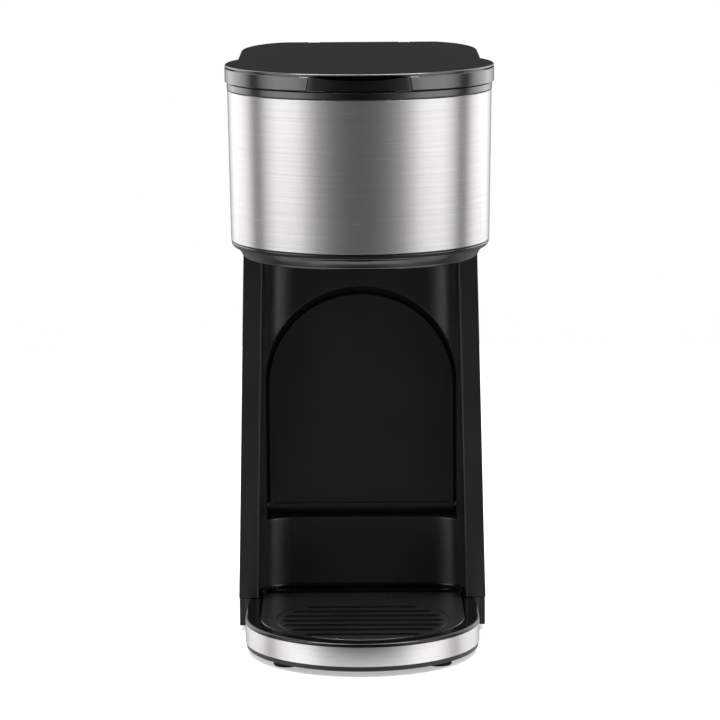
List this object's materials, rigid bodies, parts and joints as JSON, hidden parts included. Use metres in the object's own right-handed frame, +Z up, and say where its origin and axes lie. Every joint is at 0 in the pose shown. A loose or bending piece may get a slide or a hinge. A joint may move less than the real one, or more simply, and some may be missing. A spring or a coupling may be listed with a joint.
{
  "type": "coffee maker",
  "caption": "Slim single-serve coffee maker: steel-wrapped drum over a drip tray, hinged lid, fold-down cup rest, side buttons.",
  "frame": {"origin": "on the table, under the middle of the footprint's bounding rectangle", "axes": "+Z up, +Y towards the back where the cord leaves, +X to the user's right"},
  "size_m": [0.1364, 0.2118, 0.3045],
  "materials": {
    "matte_black": "fine moulded grain, satin",
    "gloss_black": "smooth, high gloss",
    "tray_black": "satin",
    "steel": "brushed along the band",
    "zinc_steel": "plated",
    "rubber": "matte",
    "silicone": "translucent, satin",
    "smoke_tank": "smooth",
    "white_plastic": "satin",
    "cast_aluminium": "as cast",
    "ceramic": "matte",
    "board_green": "solder resist",
    "button_grey": "satin",
    "lens": "clear"
  },
  "bodies": {
    "housing": {"base_shell": "gloss_black", "base_plate": "matte_black", "base_screws": "zinc_steel", "rubber_feet": "rubber", "trim_band": "steel", "column_shell": "matte_black", "front_panel": "matte_black", "cup_rest_pins": "zinc_steel", "rear_cover": "matte_black", "rear_screws": "zinc_steel", "cord_gland": "rubber", "steel_wrap": "steel", "head_shell": "matte_black", "head_underside": "gloss_black", "top_deck": "gloss_black", "brew_chamber": "matte_black", "pod_holder": "matte_black", "exit_needle": "zinc_steel", "water_port": "white_plastic", "water_tank": "smoke_tank", "tank_strainer": "white_plastic", "outlet_valve": "white_plastic", "inlet_hose": "silicone", "pump": "white_plastic", "pump_mounts": "rubber", "pump_hose": "silicone", "boiler": "cast_aluminium", "boiler_bracket": "zinc_steel", "heater_terminals": "ceramic", "thermostat": "zinc_steel", "thermal_fuse": "zinc_steel", "riser_tube": "silicone", "control_bezel": "gloss_black", "control_board": "board_green", "board_rail": "matte_black", "indicator_lenses": "lens", "tact_switches": "matte_black", "terminal_block": "white_plastic"},
    "lid": {"lid_cover": "gloss_black", "lid_grip": "gloss_black", "lid_hinge_pin": "zinc_steel", "lid_liner": "matte_black", "lid_duct": "white_plastic", "entry_needle": "zinc_steel", "needle_seal": "silicone"},
    "cup_rest": {"cup_rest": "matte_black"},
    "drip_tray": {"drip_tray": "tray_black"},
    "drip_grate": {"drip_grate": "tray_black"},
    "power_button": {"power_button": "button_grey"},
    "hot_button": {"hot_button": "button_grey"},
    "iced_button": {"iced_button": "button_grey"}
  },
  "joints": [
    {"name": "lid_hinge", "type": "hinge", "parent": "housing", "child": "lid", "pos_m": [0, 0.10135, 0.3], "axis": [-1, 0, 0], "range_deg": [0, 95]},
    {"name": "cup_rest_hinge", "type": "hinge", "parent": "housing", "child": "cup_rest", "pos_m": [0, 0.03435, 0.0618], "axis": [1, 0, 0], "range_deg": [0, 90]},
    {"name": "drip_tray_lift", "type": "slide", "parent": "housing", "child": "drip_tray", "axis": [0, 0, 1], "range_m": [0, 0.025]},
    {"name": "drip_grate_lift", "type": "slide", "parent": "drip_tray", "child": "drip_grate", "axis": [0, 0, 1], "range_m": [0, 0.015]},
    {"name": "power_button_press", "type": "slide", "parent": "housing", "child": "power_button", "axis": [-1, 0, 0], "range_m": [0, 0.0015], "stiffness_N_per_m": 400, "springref_m": -0.001},
    {"name": "hot_button_press", "type": "slide", "parent": "housing", "child": "hot_button", "axis": [-1, 0, 0], "range_m": [0, 0.0015], "stiffness_N_per_m": 400, "springref_m": -0.001},
    {"name": "iced_button_press", "type": "slide", "parent": "housing", "child": "iced_button", "axis": [-1, 0, 0], "range_m": [0, 0.0015], "stiffness_N_per_m": 400, "springref_m": -0.001}
  ]
}
